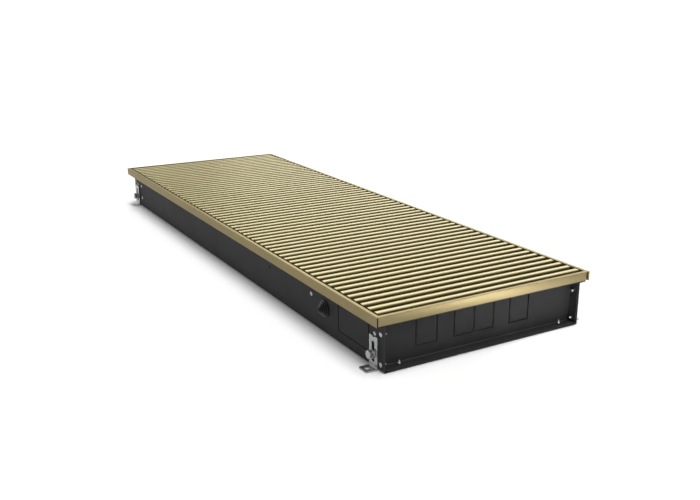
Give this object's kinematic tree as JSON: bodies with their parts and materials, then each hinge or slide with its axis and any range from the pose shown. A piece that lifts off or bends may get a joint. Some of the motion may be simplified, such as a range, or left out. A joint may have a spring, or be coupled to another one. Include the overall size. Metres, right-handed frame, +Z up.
{
  "type": "trench convector heater",
  "caption": "Long shallow in-floor convector: black steel trough with finned heat exchanger, anodised trim frame, roll-up slatted grille and levelling brackets.",
  "frame": {"origin": "on the ground, under the middle of the trim frame", "axes": "+X towards the end with the pipe connections, -Y towards the side with the cable grommet, +Z up"},
  "size_m": [1, 0.3446, 0.0755],
  "materials": {
    "black_paint": "satin black powder coat, fine grain",
    "gold_anodised": "brushed, light gold anodised",
    "zinc": "bright zinc plate",
    "fin_aluminium": "plain sheet",
    "copper": "drawn copper tube",
    "brass": "machined",
    "rubber": "matt black",
    "black_plastic": "matt black"
  },
  "bodies": {
    "housing": {"trough": "black_paint", "near_end_plate": "black_paint", "far_end_plate": "black_paint", "end_plate_rivets": "zinc", "floor_rivets": "zinc", "support_rivets": "zinc", "stop_rivets": "zinc", "front_trim": "gold_anodised", "back_trim": "gold_anodised", "near_end_trim": "gold_anodised", "far_end_trim": "gold_anodised", "front_rest_strip": "rubber", "back_rest_strip": "rubber", "exchanger_fins": "fin_aluminium", "exchanger_tubes": "copper", "near_return_bend": "copper", "far_return_bends": "copper", "near_support": "black_paint", "far_support": "black_paint", "inlet_fitting": "brass", "outlet_fitting": "brass", "vent_body": "brass", "cable_grommet": "rubber", "earth_stud": "zinc", "earth_nuts": "brass", "earth_washer": "brass", "clamp_bolts": "zinc", "flat_washers": "zinc", "spring_washers": "zinc", "clinch_nuts": "zinc"},
    "grille": {"grille_slats": "gold_anodised", "grille_spacers": "black_plastic", "grille_wires": "zinc", "grille_ferrules": "zinc"},
    "near_front_leveller": {"near_front_bracket": "zinc"},
    "near_back_leveller": {"near_back_bracket": "zinc"},
    "far_front_leveller": {"far_front_bracket": "zinc"},
    "far_back_leveller": {"far_back_bracket": "zinc"},
    "vent_spindle": {"vent_screw": "brass"}
  },
  "joints": [
    {"name": "grille_lift", "type": "slide", "parent": "housing", "child": "grille", "axis": [0, 0, 1], "range_m": [0, 0.12]},
    {"name": "vent_turn", "type": "hinge", "parent": "housing", "child": "vent_spindle", "pos_m": [0.3573, 0.06295, 0.055], "axis": [0, 0, 1], "range_deg": [0, 360]},
    {"name": "near_front_level", "type": "slide", "parent": "housing", "child": "near_front_leveller", "axis": [0, 0, -1], "range_m": [0, 0.013]},
    {"name": "near_back_level", "type": "slide", "parent": "housing", "child": "near_back_leveller", "axis": [0, 0, -1], "range_m": [0, 0.013]},
    {"name": "far_front_level", "type": "slide", "parent": "housing", "child": "far_front_leveller", "axis": [0, 0, -1], "range_m": [0, 0.013]},
    {"name": "far_back_level", "type": "slide", "parent": "housing", "child": "far_back_leveller", "axis": [0, 0, -1], "range_m": [0, 0.013]}
  ]
}
